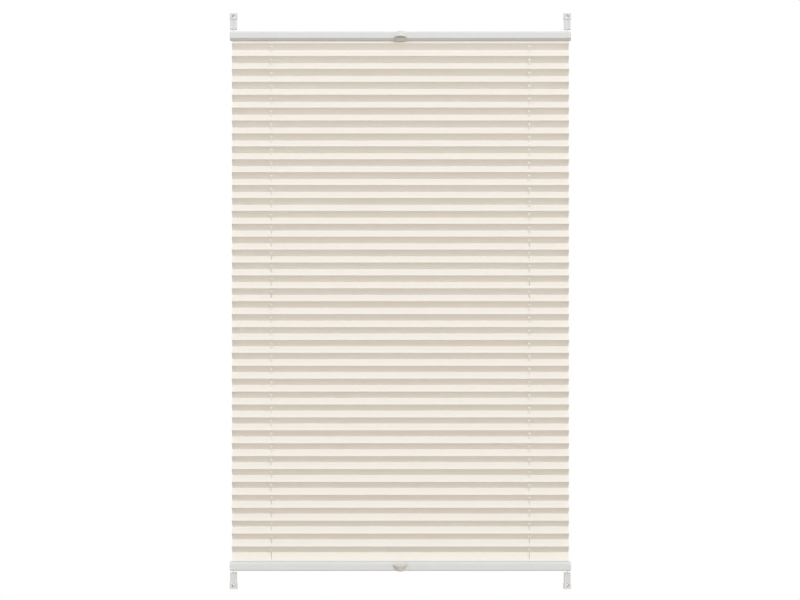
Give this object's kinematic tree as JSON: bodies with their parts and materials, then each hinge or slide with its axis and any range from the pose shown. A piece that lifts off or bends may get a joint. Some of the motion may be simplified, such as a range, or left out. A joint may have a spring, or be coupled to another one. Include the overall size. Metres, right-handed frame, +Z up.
{
  "type": "pleated blind",
  "caption": "Pleated cloth blind whose top and bottom rails slide along taut cords held by screw-on window brackets.",
  "frame": {"origin": "middle of the bracket screw pattern, on the face that the brackets are screwed to", "axes": "+X along the width to the right seen from the front, +Z up, +Y into the window; the front faces -Y"},
  "size_m": [0.601, 0.0349, 1.0132],
  "materials": {
    "cloth": "matte woven polyester, cream",
    "rail_coat": "white powder coat, satin",
    "end_cap": "moulded, satin white",
    "handle": "moulded, satin white",
    "bracket": "moulded, satin white",
    "cloth_strip": "extruded, matte white",
    "cord_guide": "moulded, matte white",
    "cord": "braided polyester, off-white",
    "cord_stop": "crimped, plain"
  },
  "bodies": {
    "fixed_set": {"bracket_top_right": "bracket", "bracket_top_left": "bracket", "bracket_bottom_right": "bracket", "bracket_bottom_left": "bracket", "cord_left": "cord", "cord_right": "cord", "cord_stops": "cord_stop", "pleated_cloth": "cloth"},
    "top_rail_set": {"top_rail": "rail_coat", "top_cap_right": "end_cap", "top_cap_left": "end_cap", "top_handle": "handle", "top_cloth_strip": "cloth_strip", "top_cord_guide_right": "cord_guide", "top_cord_guide_left": "cord_guide"},
    "bottom_rail_set": {"bottom_rail": "rail_coat", "bottom_cap_right": "end_cap", "bottom_cap_left": "end_cap", "bottom_handle": "handle", "bottom_cloth_strip": "cloth_strip", "bottom_cord_guide_right": "cord_guide", "bottom_cord_guide_left": "cord_guide"}
  },
  "joints": [
    {"name": "top_rail_slide", "type": "slide", "parent": "fixed_set", "child": "top_rail_set", "axis": [0, 0, -1], "range_m": [0, 0.424], "deforming": ["pleated_cloth", "cord_left", "cord_right"]},
    {"name": "bottom_rail_slide", "type": "slide", "parent": "fixed_set", "child": "bottom_rail_set", "axis": [0, 0, 1], "range_m": [0, 0.424], "deforming": ["pleated_cloth", "cord_left", "cord_right"]}
  ]
}
